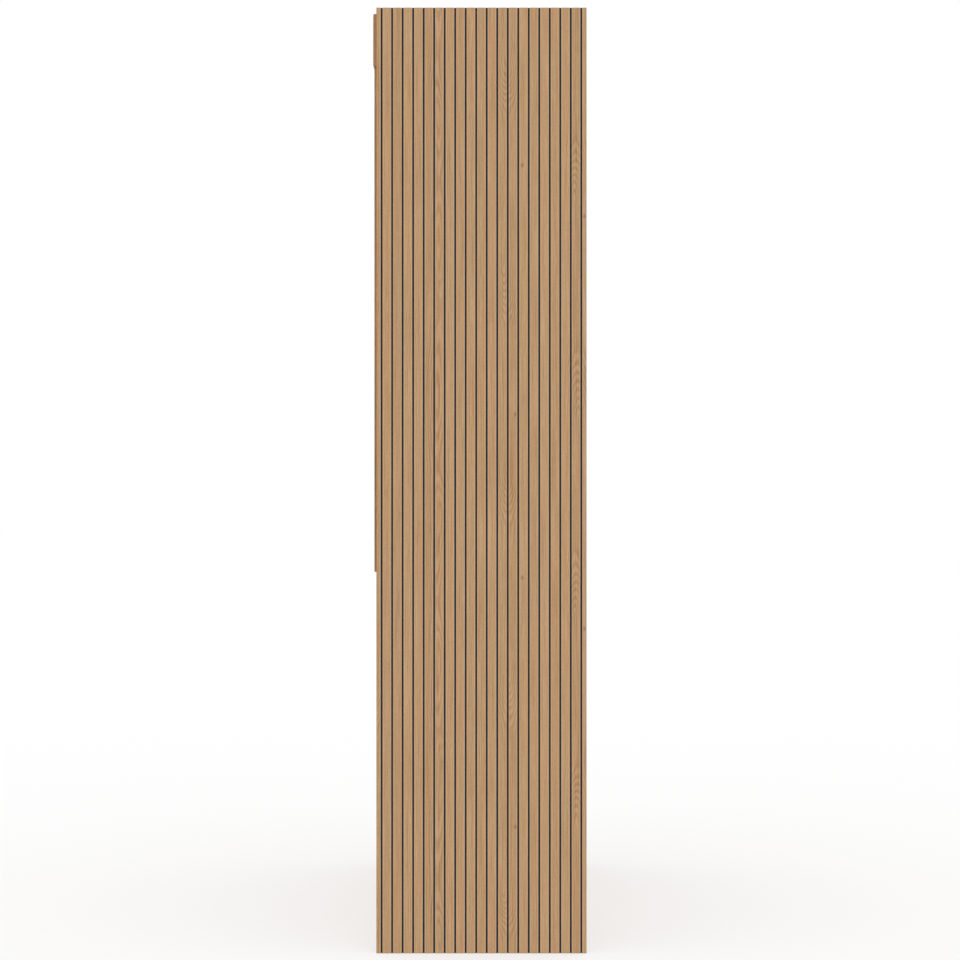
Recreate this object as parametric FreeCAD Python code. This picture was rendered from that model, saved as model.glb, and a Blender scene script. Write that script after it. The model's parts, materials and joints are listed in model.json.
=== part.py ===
"""Tall cupboard with fluted side panels, a pair of louvred doors over three drawers.

Units are millimetres. X runs across the cupboard, Y from front (-) to back (+), Z up.
The origin is on the floor, in the middle of the cupboard's footprint.
"""
import FreeCAD
import Part
import os

V = FreeCAD.Vector
os.makedirs("parts", exist_ok=True)

# ---- Carcass --------------------------------------------------------------------------
cabinet_width = 900.0
cabinet_depth = 400.0          # side panels, front edge to back edge
cabinet_height = 1800.0
board = 18.0                   # carcass boards
top_recess = 8.0               # the side panels stand this much above the top board
edge_ease = 0.8                # small chamfer that takes the sharpness off an edge
board_edge_ease = 0.5          # the same on veneered boards, whose edge band is thin

# Fluting: narrow grooves that divide a board into slats
flute_pitch = 20.0
flute_width = 2.8
flute_depth = 3.0
flute_arris = 0.5

# Header above the doors
header_height = 100.0
header_proud = 7.0             # how far its face stands in front of the side panels
header_top_radius = 3.0
header_bottom_radius = 1.5
backer_drop = 20.0             # how far the backer hangs behind the doors' top edge

# Base
plinth_height = 60.0
plinth_setback = 20.0

# Back panels, let into grooves
back_thickness = 4.0
back_inset = 10.0              # from the side panels' back edge
back_groove_depth = 6.0
back_edge_clearance = 0.5

# ---- Louvred doors --------------------------------------------------------------------
door_bottom = 725.0            # height of the doors' bottom edge
door_thickness = 22.0
door_proud = 5.0
door_side_gap = 4.0
door_meeting_gap = 2.0
door_top_gap = 2.0
door_stop_gap = 4.0            # from the doors' back to the boards that stop them
divider_raise = 20.0           # from the doors' bottom edge up to the divider board
stile_width = 53.0
rail_height = 60.0
door_grip = 6.0                # bevel behind each door's bottom edge, for the fingers
louvre_width = 17.2
louvre_thickness = 9.0
louvre_set_in = 2.0            # louvre face behind the frame's face
door_groove_depth = 8.0
backing_thickness = 4.0

# ---- Door pivots ----------------------------------------------------------------------
pin_diameter = 5.0
pin_from_edge = 9.5            # pin axis from the door's hinge edge
pin_from_face = 9.0            # pin axis from the door's face
pin_in_door = 25.0
pin_reach = 10.0               # pin above the door's top edge
collar_diameter = 11.0
collar_thickness = 1.0
bush_diameter = 9.0
bush_length = 12.0
running_clearance = 0.05       # radial, pin in bush or bracket
press_clearance = 0.02         # radial, what is pressed or glued into a hole
bracket_gauge = 3.0
bracket_length = 34.0
bracket_width = 28.0
bracket_leg = 15.0

# ---- Catches and bumpers --------------------------------------------------------------
catch_width = 44.0
catch_height = 13.0
catch_set_in = 9.0
strike_width = 36.0
strike_thickness = 1.0
bumper_size = 12.0
bumper_compression = 0.3       # the doors' back to the pads' face
bumper_from_middle = 150.0     # outer bumpers, from the cupboard's middle

# ---- Drawers --------------------------------------------------------------------------
drawer_names = ("bottom", "middle", "top")
drawer_front_thickness = 18.0
drawer_front_gap = 3.0         # beside each front
drawer_stop_gap = 1.0          # from the fronts' back to the bottom board
finger_gap = 20.0              # above each drawer front
drawer_grip = 9.0              # bevel behind each front's top edge, for the fingers
drawer_box_height = 140.0
drawer_box_raise = 22.0        # box above its front's bottom edge
drawer_side_thickness = 15.0
drawer_bottom_thickness = 6.0
drawer_bottom_raise = 10.0
drawer_groove_depth = 6.0
drawer_back_clearance = 16.0

# ---- Telescopic slides ----------------------------------------------------------------
slide_space = 12.7             # between a drawer box and the side panel
slide_height = 45.0
slide_gauge = 1.2
slide_fold = 1.0               # flat that rounds the inside of each rolled corner
slide_clearance = 0.5          # between nested members
slide_above_box_bottom = 60.0
slide_front_clearance = 2.0    # behind the drawer front

# ---- Shelves --------------------------------------------------------------------------
shelf_names = ("lower", "upper")
shelf_side_clearance = 1.0
shelf_setback = 22.0           # behind the divider board's front edge
shelf_back_clearance = 2.0
support_diameter = 5.0
support_in_panel = 10.0
support_tab = 8.0
support_tab_width = 12.0
support_tab_thickness = 2.0
support_from_shelf_end = 40.0

# ---- Wall brackets --------------------------------------------------------------------
wall_bracket_spacing = 600.0
wall_bracket_width = 30.0
wall_bracket_leg = 40.0
wall_bracket_gauge = 2.0
wall_hole_diameter = 6.0
wall_hole_drop = 24.0          # hole below the top board

# ---- Places worked out from the sizes above -------------------------------------------
half_width = cabinet_width / 2
inner_half = half_width - board
panel_front = -(cabinet_depth + header_proud) / 2 + header_proud
panel_back = panel_front + cabinet_depth
back_face = panel_back - back_inset - back_thickness      # front face of the back panels

door_face = panel_front - door_proud
door_back = door_face + door_thickness
stop_line = door_back + door_stop_gap                     # front edge of divider and top
header_face = panel_front - header_proud

top_board_top = cabinet_height - top_recess
top_board_bottom = top_board_top - board
header_bottom = top_board_top - header_height
door_top = header_bottom - door_top_gap
divider_bottom = door_bottom + divider_raise
divider_top = divider_bottom + board
backer_bottom = door_top - backer_drop

door_outer = inner_half - door_side_gap                   # hinge edge, from the middle
door_inner = door_meeting_gap / 2                         # meeting edge
pin_x = door_outer - pin_from_edge
pin_y = door_face + pin_from_face

drawer_count = len(drawer_names)
drawer_front_half = inner_half - drawer_front_gap
drawer_front_back = panel_front + drawer_front_thickness
drawer_stack = door_bottom - finger_gap * drawer_count - plinth_height
drawer_front_height = drawer_stack / drawer_count
box_half = inner_half - slide_space
box_back = back_face - drawer_back_clearance

shelf_count = len(shelf_names)
shelf_space = (top_board_bottom - divider_top - shelf_count * board) / (shelf_count + 1)


# ---- Helpers --------------------------------------------------------------------------
def box(x0, x1, y0, y1, z0, z1):
    return Part.makeBox(x1 - x0, y1 - y0, z1 - z0, V(x0, y0, z0))


def side_box(side, near, far, y0, y1, z0, z1):
    """A box between two distances from the middle, on the left (-1) or the right (+1)."""
    x0, x1 = sorted((side * near, side * far))
    return box(x0, x1, y0, y1, z0, z1)


def upright_rod(diameter, x, y, z0, z1):
    return Part.makeCylinder(diameter / 2, z1 - z0, V(x, y, z0))


def rod_along_y(diameter, x, z, y0, y1):
    return Part.makeCylinder(diameter / 2, y1 - y0, V(x, y0, z), V(0, 1, 0))


def side_rod(side, diameter, near, far, y, z):
    """A rod along X between two distances from the middle."""
    return Part.makeCylinder(diameter / 2, far - near, V(side * near, y, z), V(side, 0, 0))


def prism(points, travel):
    """A solid swept from a flat outline, given as a list of corner points."""
    outline = Part.Face(Part.makePolygon(points + points[:1]))
    return outline.extrude(travel)


def chamfered(solid, size, wanted):
    """Chamfers the straight edges whose middle point passes the test."""
    edges = [edge for edge in solid.Edges if wanted(edge.CenterOfMass)]
    return solid.makeChamfer(size, edges)


def rounded(solid, radius, wanted):
    """Rounds the straight edges whose middle point passes the test."""
    edges = [edge for edge in solid.Edges if wanted(edge.CenterOfMass)]
    return solid.makeFillet(radius, edges)


def near(value, target):
    return abs(value - target) < 1e-6


def save(name, *solids):
    """Writes one sub-part; repeated pieces are separate solids in one file."""
    shape = solids[0] if len(solids) == 1 else Part.makeCompound(list(solids))
    shape.exportStep("parts/" + name + ".step")


def side_name(side):
    return "right" if side > 0 else "left"


def fluted_edge(start, end, first, count):
    """Corner points (along, into the board) of a fluted face from start to end."""
    half = flute_width / 2
    points = [(start, edge_ease), (start + edge_ease, 0)]
    for index in range(count):
        middle = first + index * flute_pitch
        points += [(middle - half - flute_arris, 0), (middle - half, flute_arris),
                   (middle - half, flute_depth), (middle + half, flute_depth),
                   (middle + half, flute_arris), (middle + half + flute_arris, 0)]
    points += [(end - edge_ease, 0), (end, edge_ease)]
    return points


# ---- Carcass --------------------------------------------------------------------------
def shelf_bottom(index):
    return divider_top + shelf_space * (index + 1) + board * index


def shelf_front_and_back():
    return stop_line + shelf_setback, back_face - shelf_back_clearance


def support_columns():
    front, back = shelf_front_and_back()
    return front + support_from_shelf_end, back - support_from_shelf_end


def support_places():
    """The (Y, Z) places of the pegs under the shelves, the same in both side panels."""
    return [(y, shelf_bottom(index) - support_tab_thickness / 2)
            for index in range(shelf_count) for y in support_columns()]


def outer_arris(side, level, inward):
    """What a chamfer takes off a side panel's outer edge at the floor or at the top."""
    corner = V(side * half_width, panel_front, level)
    points = [corner, corner + V(0, 0, inward * board_edge_ease),
              corner + V(-side * board_edge_ease, 0, 0)]
    return prism(points, V(0, cabinet_depth, 0))


def side_panel(side):
    count = int(cabinet_depth / flute_pitch)
    first = panel_front + (cabinet_depth - (count - 1) * flute_pitch) / 2
    outline = fluted_edge(panel_front, panel_back, first, count)
    outline += [(panel_back, board), (panel_front + board_edge_ease, board),
                (panel_front, board - board_edge_ease)]
    points = [V(side * (half_width - depth), y, 0) for y, depth in outline]
    panel = prism(points, V(0, 0, cabinet_height))

    cuts = [side_box(side, inner_half, inner_half + back_groove_depth,
                     back_face, back_face + back_thickness,
                     plinth_height, top_board_bottom + back_groove_depth)]
    cuts += [outer_arris(side, 0, 1), outer_arris(side, cabinet_height, -1)]
    hole = support_diameter + 2 * press_clearance
    for y, z in support_places():
        cuts.append(side_rod(side, hole, inner_half, inner_half + support_in_panel, y, z))
    return panel.cut(cuts)


def lying_board(half, front, back, bottom):
    """A board that lies level, the two arrises of its front edge eased."""
    plank = box(-half, half, front, back, bottom, bottom + board)
    return chamfered(plank, board_edge_ease, lambda p: near(p.y, front) and near(p.x, 0))


def save_carcass_boards():
    for side in (-1, 1):
        save(side_name(side) + "_side_panel", side_panel(side))

    groove = box(-inner_half, inner_half, back_face, back_face + back_thickness,
                 top_board_bottom, top_board_bottom + back_groove_depth)
    top = box(-inner_half, inner_half, stop_line, panel_back, top_board_bottom, top_board_top)
    save("top_panel", top.cut(groove))
    save("divider_panel", lying_board(inner_half, stop_line, back_face, divider_bottom))
    save("bottom_panel", lying_board(inner_half, drawer_front_back + drawer_stop_gap,
                                     back_face, plinth_height))


def save_plinth():
    front = panel_front + plinth_setback
    save("plinth_board", box(-inner_half, inner_half, front, front + board, 0, plinth_height))
    save("rear_plinth_board", box(-inner_half, inner_half, back_face - board, back_face,
                                  0, plinth_height))


def save_back_panels():
    half = inner_half + back_groove_depth - back_edge_clearance
    middle = (divider_bottom + divider_top) / 2
    top = top_board_bottom + back_groove_depth - back_edge_clearance
    upper = box(-half, half, back_face, back_face + back_thickness,
                middle + back_edge_clearance, top)
    lower = box(-half, half, back_face, back_face + back_thickness,
                plinth_height, middle - back_edge_clearance)
    holes = [wall_hole(x, back_face, back_face + back_thickness) for x in wall_bracket_places()]
    save("upper_back_panel", upper.cut(holes))
    save("lower_back_panel", lower)


def wall_bracket_places():
    return (-wall_bracket_spacing / 2, wall_bracket_spacing / 2)


def wall_hole(x, y0, y1):
    return rod_along_y(wall_hole_diameter, x, top_board_bottom - wall_hole_drop, y0, y1)


def wall_bracket(x):
    """A folded steel angle under the top board, holed for a screw into the wall."""
    x0, x1 = x - wall_bracket_width / 2, x + wall_bracket_width / 2
    flat = box(x0, x1, back_face - wall_bracket_leg, back_face,
               top_board_bottom - wall_bracket_gauge, top_board_bottom)
    upright = box(x0, x1, back_face - wall_bracket_gauge, back_face,
                  top_board_bottom - wall_bracket_leg, top_board_bottom)
    angle = rounded(flat.fuse(upright).removeSplitter(), wall_bracket_gauge,
                    lambda p: near(p.y, back_face) and near(p.z, top_board_bottom))
    return angle.cut(wall_hole(x, back_face - board, back_face))


# ---- Header over the doors ------------------------------------------------------------
def save_header():
    header = box(-inner_half, inner_half, header_face, stop_line, header_bottom, top_board_top)
    rounds = ((top_board_top, header_top_radius), (header_bottom, header_bottom_radius))
    for level, radius in rounds:
        header = rounded(header, radius, lambda p: near(p.y, header_face) and near(p.z, level))
    bush_hole = bush_diameter + 2 * press_clearance
    holes = [upright_rod(bush_hole, side * pin_x, pin_y, header_bottom,
                         header_bottom + bush_length) for side in (-1, 1)]
    save("header_rail", header.cut(holes))

    backer = box(-inner_half, inner_half, stop_line, stop_line + board,
                 backer_bottom, top_board_bottom)
    pockets = [catch_box(side, catch_width, stop_line, stop_line + catch_set_in)
               for side in (-1, 1)]
    save("header_backer", backer.cut(pockets))


def pivot_bush(side):
    bush = upright_rod(bush_diameter, side * pin_x, pin_y, header_bottom,
                       header_bottom + bush_length)
    bore = upright_rod(pin_diameter + 2 * running_clearance, side * pin_x, pin_y,
                       header_bottom, header_bottom + bush_length)
    return bush.cut(bore)


def pivot_bracket(side):
    """A folded steel angle on the side panel that carries the door's bottom pin."""
    top = door_bottom - collar_thickness
    ledge = side_box(side, inner_half - bracket_width, inner_half,
                     panel_front, panel_front + bracket_length, top - bracket_gauge, top)
    corner = inner_half - bracket_width
    ledge = chamfered(ledge, bracket_width / 3,
                      lambda p: near(abs(p.x), corner) and near(p.z, top - bracket_gauge / 2)
                      and p.y > panel_front + 1)
    leg = side_box(side, inner_half - bracket_gauge, inner_half,
                   panel_front + door_proud, panel_front + bracket_length,
                   top - bracket_gauge - bracket_leg, top - bracket_gauge)
    hole = upright_rod(pin_diameter + 2 * running_clearance, side * pin_x, pin_y,
                       top - bracket_gauge, top)
    angle = rounded(ledge.fuse(leg).removeSplitter(), bracket_gauge,
                    lambda p: near(abs(p.x), inner_half) and near(p.z, top))
    return angle.cut(hole)


# ---- Catches and bumpers --------------------------------------------------------------
def catch_box(side, width, y0, y1):
    """A block behind the top of a door's meeting stile."""
    middle = door_inner + stile_width / 2
    level = (backer_bottom + door_top) / 2
    return side_box(side, middle - width / 2, middle + width / 2, y0, y1,
                    level - catch_height / 2, level + catch_height / 2)


def magnetic_catch(side):
    return catch_box(side, catch_width, door_back + strike_thickness, stop_line + catch_set_in)


def door_bumper(x):
    """A soft pad on the divider board's front edge."""
    level = divider_bottom + board / 2
    return box(x - bumper_size / 2, x + bumper_size / 2, door_back + bumper_compression,
               stop_line, level - bumper_size / 2, level + bumper_size / 2)


def bumper_places():
    middle = door_inner + stile_width / 2
    return (-bumper_from_middle, -middle, middle, bumper_from_middle)


# ---- Shelves --------------------------------------------------------------------------
def shelf_support(side, y, z):
    """A peg in the side panel with a flat tab that the shelf lies on."""
    peg = side_rod(side, support_diameter, inner_half, inner_half + support_in_panel, y, z)
    tab = side_box(side, inner_half - support_tab, inner_half,
                   y - support_tab_width / 2, y + support_tab_width / 2,
                   z - support_tab_thickness / 2, z + support_tab_thickness / 2)
    return peg.fuse(tab)


def save_shelves():
    front, back = shelf_front_and_back()
    half = inner_half - shelf_side_clearance
    for index, name in enumerate(shelf_names):
        save(name + "_shelf", lying_board(half, front, back, shelf_bottom(index)))
    save("shelf_supports", *[shelf_support(side, y, z) for side in (-1, 1)
                             for y, z in support_places()])


# ---- Louvred doors --------------------------------------------------------------------
def louvre_places():
    """Middles of the louvres, evenly spaced between the stiles."""
    opening = door_outer - door_inner - 2 * stile_width
    count = int(opening / flute_pitch)
    start = door_inner + stile_width + (opening - (count - 1) * flute_pitch) / 2
    return [start + index * flute_pitch for index in range(count)]


def louvre(side, middle):
    """One upright slat, its ends let into the rails, its front arrises eased."""
    half = louvre_width / 2
    face = door_face + louvre_set_in
    back = face + louvre_thickness
    outline = [(-half, back), (-half, face + edge_ease), (-half + edge_ease, face),
               (half - edge_ease, face), (half, face + edge_ease), (half, back)]
    bottom = door_bottom + rail_height - door_groove_depth
    top = door_top - rail_height + door_groove_depth
    points = [V(side * middle + x, y, bottom) for x, y in outline]
    return prism(points, V(0, 0, top - bottom))


def backing_front():
    return door_face + louvre_set_in + louvre_thickness


def stile(side, near_edge, far_edge, groove_edge):
    """An upright of the frame, grooved along groove_edge for the backing and the rails."""
    post = side_box(side, near_edge, far_edge, door_face, door_back, door_bottom, door_top)
    post = chamfered(post, edge_ease, lambda p: near(p.y, door_face) and
                     near(p.z, (door_bottom + door_top) / 2))
    inward = door_groove_depth if groove_edge == near_edge else -door_groove_depth
    low, high = sorted((groove_edge, groove_edge + inward))
    groove = side_box(side, low, high, backing_front(), backing_front() + backing_thickness,
                      door_bottom, door_top)
    return post.cut(groove)


def rail(side, bottom, louvre_edge):
    """A cross piece with stub tongues at its ends and a housing for the louvres' ends."""
    left, right = door_inner + stile_width, door_outer - stile_width
    body = side_box(side, left, right, door_face, door_back, bottom, bottom + rail_height)
    body = chamfered(body, edge_ease, lambda p: near(p.y, door_face) and
                     near(p.z, louvre_edge))
    if near(bottom, door_bottom):
        body = chamfered(body, door_grip,
                         lambda p: near(p.y, door_back) and near(p.z, door_bottom))
    tongue = side_box(side, left - door_groove_depth, right + door_groove_depth,
                      backing_front(), backing_front() + backing_thickness,
                      bottom, bottom + rail_height)
    inward = door_groove_depth if near(louvre_edge, bottom) else -door_groove_depth
    low, high = sorted((louvre_edge, louvre_edge + inward))
    housing = side_box(side, left - door_groove_depth, right + door_groove_depth,
                       door_face + louvre_set_in, backing_front() + backing_thickness,
                       low, high)
    return body.fuse(tongue).cut(housing)


def pivot_pins(side):
    """The pin above the door, and the one below it with its collar."""
    top = upright_rod(pin_diameter, side * pin_x, pin_y,
                      door_top - pin_in_door, door_top + pin_reach)
    bottom = upright_rod(pin_diameter, side * pin_x, pin_y,
                         door_bottom - collar_thickness - bracket_gauge,
                         door_bottom + pin_in_door)
    collar = upright_rod(collar_diameter, side * pin_x, pin_y,
                         door_bottom - collar_thickness, door_bottom)
    return top, bottom.fuse(collar)


def save_door(side):
    name = side_name(side) + "_door_"
    pin_hole = pin_diameter + 2 * press_clearance
    holes = [upright_rod(pin_hole, side * pin_x, pin_y, door_top - pin_in_door, door_top),
             upright_rod(pin_hole, side * pin_x, pin_y, door_bottom,
                         door_bottom + pin_in_door)]
    hinge_edge = door_outer - stile_width
    save(name + "hinge_stile", stile(side, hinge_edge, door_outer, hinge_edge).cut(holes))
    meeting_edge = door_inner + stile_width
    save(name + "meeting_stile", stile(side, door_inner, meeting_edge, meeting_edge))
    save(name + "bottom_rail", rail(side, door_bottom, door_bottom + rail_height))
    save(name + "top_rail", rail(side, door_top - rail_height, door_top - rail_height))
    save(name + "backing",
         side_box(side, meeting_edge - door_groove_depth, hinge_edge + door_groove_depth,
                  backing_front(), backing_front() + backing_thickness,
                  door_bottom + rail_height - door_groove_depth,
                  door_top - rail_height + door_groove_depth))
    save(name + "louvres", *[louvre(side, middle) for middle in louvre_places()])
    save(name + "pivot_pins", *pivot_pins(side))
    save(name + "strike_plate",
         catch_box(side, strike_width, door_back, door_back + strike_thickness))


# ---- Telescopic slides ----------------------------------------------------------------
def slide_member(side, outline, middle_z):
    """A rolled steel member as long as the drawer's side.

    The outline's corner points are (distance from the side panel, height).
    """
    start = drawer_front_back + slide_front_clearance
    points = [V(side * (inner_half - across), start, middle_z + up) for across, up in outline]
    return prism(points, V(0, box_back - start, 0))


def channel_outline(web, opens, reach, half):
    """A C section with folded corners.

    web is the outer face of its web, opens the way its lips point (1 or -1), reach how far
    they reach, and half is half its height.
    """
    outside = slide_fold + (2 - 2 ** 0.5) * slide_gauge     # keeps the gauge round the fold
    inside = slide_gauge + slide_fold
    lower = [(0, outside - half), (outside, -half), (reach, -half),
             (reach, slide_gauge - half), (inside, slide_gauge - half),
             (slide_gauge, inside - half)]
    upper = [(across, -up) for across, up in reversed(lower)]
    return [(web + opens * across, up) for across, up in lower + upper]


def slide_sections():
    """Outlines of the member on the panel, the one between and the one on the drawer."""
    step = slide_gauge + slide_clearance
    half = slide_height / 2
    lips = slide_space / 2 + step
    outer = channel_outline(0, 1, lips, half)
    middle = channel_outline(step, 1, slide_space - 2 * step, half - step)
    inner = channel_outline(slide_space, -1, lips, half - 2 * step)
    return outer, middle, inner


# ---- Drawers --------------------------------------------------------------------------
def drawer_front(bottom):
    count = 2 * int(drawer_front_half / flute_pitch)
    first = -(count - 1) / 2 * flute_pitch
    outline = fluted_edge(-drawer_front_half, drawer_front_half, first, count)
    outline += [(drawer_front_half, drawer_front_thickness),
                (-drawer_front_half, drawer_front_thickness)]
    points = [V(x, panel_front + depth, bottom) for x, depth in outline]
    front = prism(points, V(0, 0, drawer_front_height))
    front = chamfered(front, drawer_grip, lambda p: near(p.y, drawer_front_back) and
                      near(p.z, bottom + drawer_front_height))
    return front.cut(drawer_bottom_groove(bottom))


def drawer_bottom_groove(bottom):
    """The space of the drawer's bottom board, with its edges in the grooves."""
    half = box_half - drawer_side_thickness + drawer_groove_depth
    level = bottom + drawer_box_raise + drawer_bottom_raise
    return box(-half, half, drawer_front_back - drawer_groove_depth, box_back,
               level, level + drawer_bottom_thickness)


def save_drawer(index, name):
    bottom = plinth_height + index * (drawer_front_height + finger_gap)
    box_bottom = bottom + drawer_box_raise
    box_top = box_bottom + drawer_box_height
    board_top = box_bottom + drawer_bottom_raise + drawer_bottom_thickness
    groove = drawer_bottom_groove(bottom)
    prefix = name + "_drawer_"
    save(prefix + "front", drawer_front(bottom))
    save(prefix + "base", groove)
    for side in (-1, 1):
        wall = side_box(side, box_half - drawer_side_thickness, box_half,
                        drawer_front_back, box_back, box_bottom, box_top)
        wall = chamfered(wall, edge_ease, lambda p: near(p.z, box_top) and
                         near(p.y, (drawer_front_back + box_back) / 2))
        save(prefix + side_name(side) + "_side", wall.cut(groove))
    half = box_half - drawer_side_thickness
    save(prefix + "back", box(-half, half, box_back - drawer_side_thickness, box_back,
                              board_top, box_top - edge_ease))
    middle_z = box_bottom + slide_above_box_bottom
    sections = slide_sections()
    save(prefix + "slide_middles", *[slide_member(side, sections[1], middle_z)
                                     for side in (-1, 1)])
    save(prefix + "slide_inners", *[slide_member(side, sections[2], middle_z)
                                    for side in (-1, 1)])
    return [slide_member(side, sections[0], middle_z) for side in (-1, 1)]


# ---- Build ----------------------------------------------------------------------------
save_carcass_boards()
save_plinth()
save_back_panels()
save_header()
save_shelves()
save("wall_brackets", *[wall_bracket(x) for x in wall_bracket_places()])
save("pivot_bushes", *[pivot_bush(side) for side in (-1, 1)])
save("pivot_brackets", *[pivot_bracket(side) for side in (-1, 1)])
save("magnetic_catches", *[magnetic_catch(side) for side in (-1, 1)])
save("door_bumpers", *[door_bumper(x) for x in bumper_places()])
for side in (-1, 1):
    save_door(side)
outer_members = []
for index, name in enumerate(drawer_names):
    outer_members += save_drawer(index, name)
save("slide_outers", *outer_members)
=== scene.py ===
# %% [markdown]
# # A tall cupboard with fluted sides
# The cupboard is oak: two side panels cut into narrow slats by dark grooves, a header rail, a
# pair of doors filled with upright slats, and three fluted drawers below. Its boards, doors,
# drawers and slides come ready made and in place. These cells give each surface its finish, add
# the small fittings that a joiner screws on last, and set up a plain studio round it.

# %% Load the frame
import json
import math
import bpy
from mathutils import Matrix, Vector


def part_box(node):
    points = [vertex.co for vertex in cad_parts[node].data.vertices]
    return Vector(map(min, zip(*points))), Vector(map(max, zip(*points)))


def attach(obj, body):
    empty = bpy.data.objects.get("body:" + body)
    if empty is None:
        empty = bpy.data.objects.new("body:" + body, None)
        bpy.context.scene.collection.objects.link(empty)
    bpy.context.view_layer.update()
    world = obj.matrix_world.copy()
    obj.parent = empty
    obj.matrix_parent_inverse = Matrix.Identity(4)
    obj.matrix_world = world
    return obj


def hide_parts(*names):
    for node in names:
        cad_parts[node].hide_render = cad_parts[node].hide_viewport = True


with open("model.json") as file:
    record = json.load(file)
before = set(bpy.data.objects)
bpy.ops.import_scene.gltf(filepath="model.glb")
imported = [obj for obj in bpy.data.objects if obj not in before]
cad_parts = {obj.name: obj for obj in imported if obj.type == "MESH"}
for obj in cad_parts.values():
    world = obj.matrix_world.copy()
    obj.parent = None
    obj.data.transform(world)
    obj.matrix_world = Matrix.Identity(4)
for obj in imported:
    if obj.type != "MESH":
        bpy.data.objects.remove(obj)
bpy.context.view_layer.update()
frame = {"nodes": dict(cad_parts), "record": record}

# %% [markdown]
# ## Camera
# A cupboard this tall is best seen with a long lens from its middle height, so that its upright
# edges stay upright. The camera stands square to the right side, nearly five times the
# cupboard's width from its middle, and looks level at the fluted panel.

# %% Stand the camera square to the right side
CAMERA_PLACE = (4.24, 0.0007, 0.9009)
CAMERA_LENS = 74.685

camera_data = bpy.data.cameras.new("side_camera")
camera_data.lens = CAMERA_LENS
camera = bpy.data.objects.new("side_camera", camera_data)
camera.location = CAMERA_PLACE
camera.rotation_euler = (math.radians(90), 0, math.radians(90))
bpy.context.scene.collection.objects.link(camera)
bpy.context.scene.camera = camera
bpy.context.scene.view_settings.view_transform = "Standard"
print("camera at", CAMERA_PLACE)

# %% [markdown]
# ## Small helpers for node trees
# Every finish here is a short recipe of texture nodes. Adding a node, wiring a sum and laying a
# stretched noise come up again and again, so each gets one helper with a plain name.

# %% Helpers that add nodes
def add_node(tree, kind, inputs=None, **settings):
    """Adds a shader node; each input is a plain value or another node's socket."""
    node = tree.nodes.new("ShaderNode" + kind)
    for name, value in settings.items():
        setattr(node, name, value)
    for name, value in (inputs or {}).items():
        if isinstance(value, bpy.types.NodeSocket):
            tree.links.new(value, node.inputs[name])
        else:
            node.inputs[name].default_value = value
    return node


def calc(tree, operation, first, second=0.0, third=0.0):
    """One Math node, for sums of varying values."""
    inputs = {0: first, 1: second, 2: third}
    return add_node(tree, "Math", inputs, operation=operation).outputs[0]


def fade(tree, value, start, end, low=0.0, high=1.0):
    """Turns a value smoothly from low at start to high at end."""
    inputs = {"Value": value, "From Min": start, "From Max": end, "To Min": low, "To Max": high}
    return add_node(tree, "MapRange", inputs, interpolation_type="SMOOTHSTEP").outputs[0]


def blend_colours(tree, factor, first, second, way="MIX"):
    """Mixes two colours, each a plain colour or a socket."""
    inputs = {0: factor, 6: first, 7: second}
    node = add_node(tree, "Mix", inputs, data_type="RGBA", blend_type=way)
    return node.outputs[2]


def stretched_noise(tree, place, per_metre, detail=2.0, roughness=0.5):
    """Noise with so many grains to the metre along X, Y and Z."""
    mapped = add_node(tree, "Mapping", {"Vector": place, "Scale": per_metre})
    inputs = {"Vector": mapped.outputs[0], "Scale": 1.0, "Detail": detail,
              "Roughness": roughness}
    return add_node(tree, "TexNoise", inputs).outputs[0]


# %% Start a finish and roughen it
def start_finish(name, roughness, specular=0.3, metallic=0.0):
    """A new material with its shader, and the object's own coordinates."""
    finish = bpy.data.materials.new(name)
    finish.use_nodes = True
    tree = finish.node_tree
    shader = tree.nodes["Principled BSDF"]
    shader.inputs["Roughness"].default_value = roughness
    shader.inputs["Specular IOR Level"].default_value = specular
    shader.inputs["Metallic"].default_value = metallic
    place = tree.nodes.new("ShaderNodeTexCoord").outputs["Object"]
    return finish, tree, shader, place


def relief(tree, shader, height, depth, strength=1.0):
    """Lets a height in 0 to 1 roughen the surface by a depth in metres."""
    inputs = {"Height": height, "Distance": depth, "Strength": strength}
    bump = add_node(tree, "Bump", inputs)
    tree.links.new(bump.outputs[0], shader.inputs["Normal"])


# %% [markdown]
# ## Floor
# The cupboard stands on a pale studio floor, which must look white and still hold a soft
# shadow. So it is a paint that is part light: the paint takes the shadow, and the light keeps
# it white. The floor also throws light back on the boards above it. For that it has a second
# share, with more light in it, so that a panel is lit evenly down to its foot.

# %% Lay the floor
FLOOR_SIZE = 60.0
FLOOR_LEVEL = -0.0002     # just clear of the side panels' lower ends
FLOOR_PALENESS = 0.86
FLOOR_WHITE = 0.91
FLOOR_GLOW = 0.55         # the share of light in what the eye and shiny metal see
BOUNCE_GLOW = 0.80        # and in what lights the cupboard
BOUNCE_STRENGTH = 0.94

bpy.ops.object.select_all(action="DESELECT")
bpy.ops.mesh.primitive_plane_add(size=FLOOR_SIZE, location=(0, 0, FLOOR_LEVEL))
floor = bpy.context.object
floor.name = "studio_floor"

floor_finish = bpy.data.materials.new("Studio floor")
floor_finish.use_nodes = True
tree = floor_finish.node_tree
tree.nodes.clear()


def seen_ray(tree):
    """1 for what is looked at, straight or in shiny metal or through glass, else 0."""
    path = tree.nodes.new("ShaderNodeLightPath").outputs
    seen = calc(tree, "ADD", path["Is Camera Ray"], path["Is Glossy Ray"])
    return calc(tree, "ADD", seen, path["Is Transmission Ray"])


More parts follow.
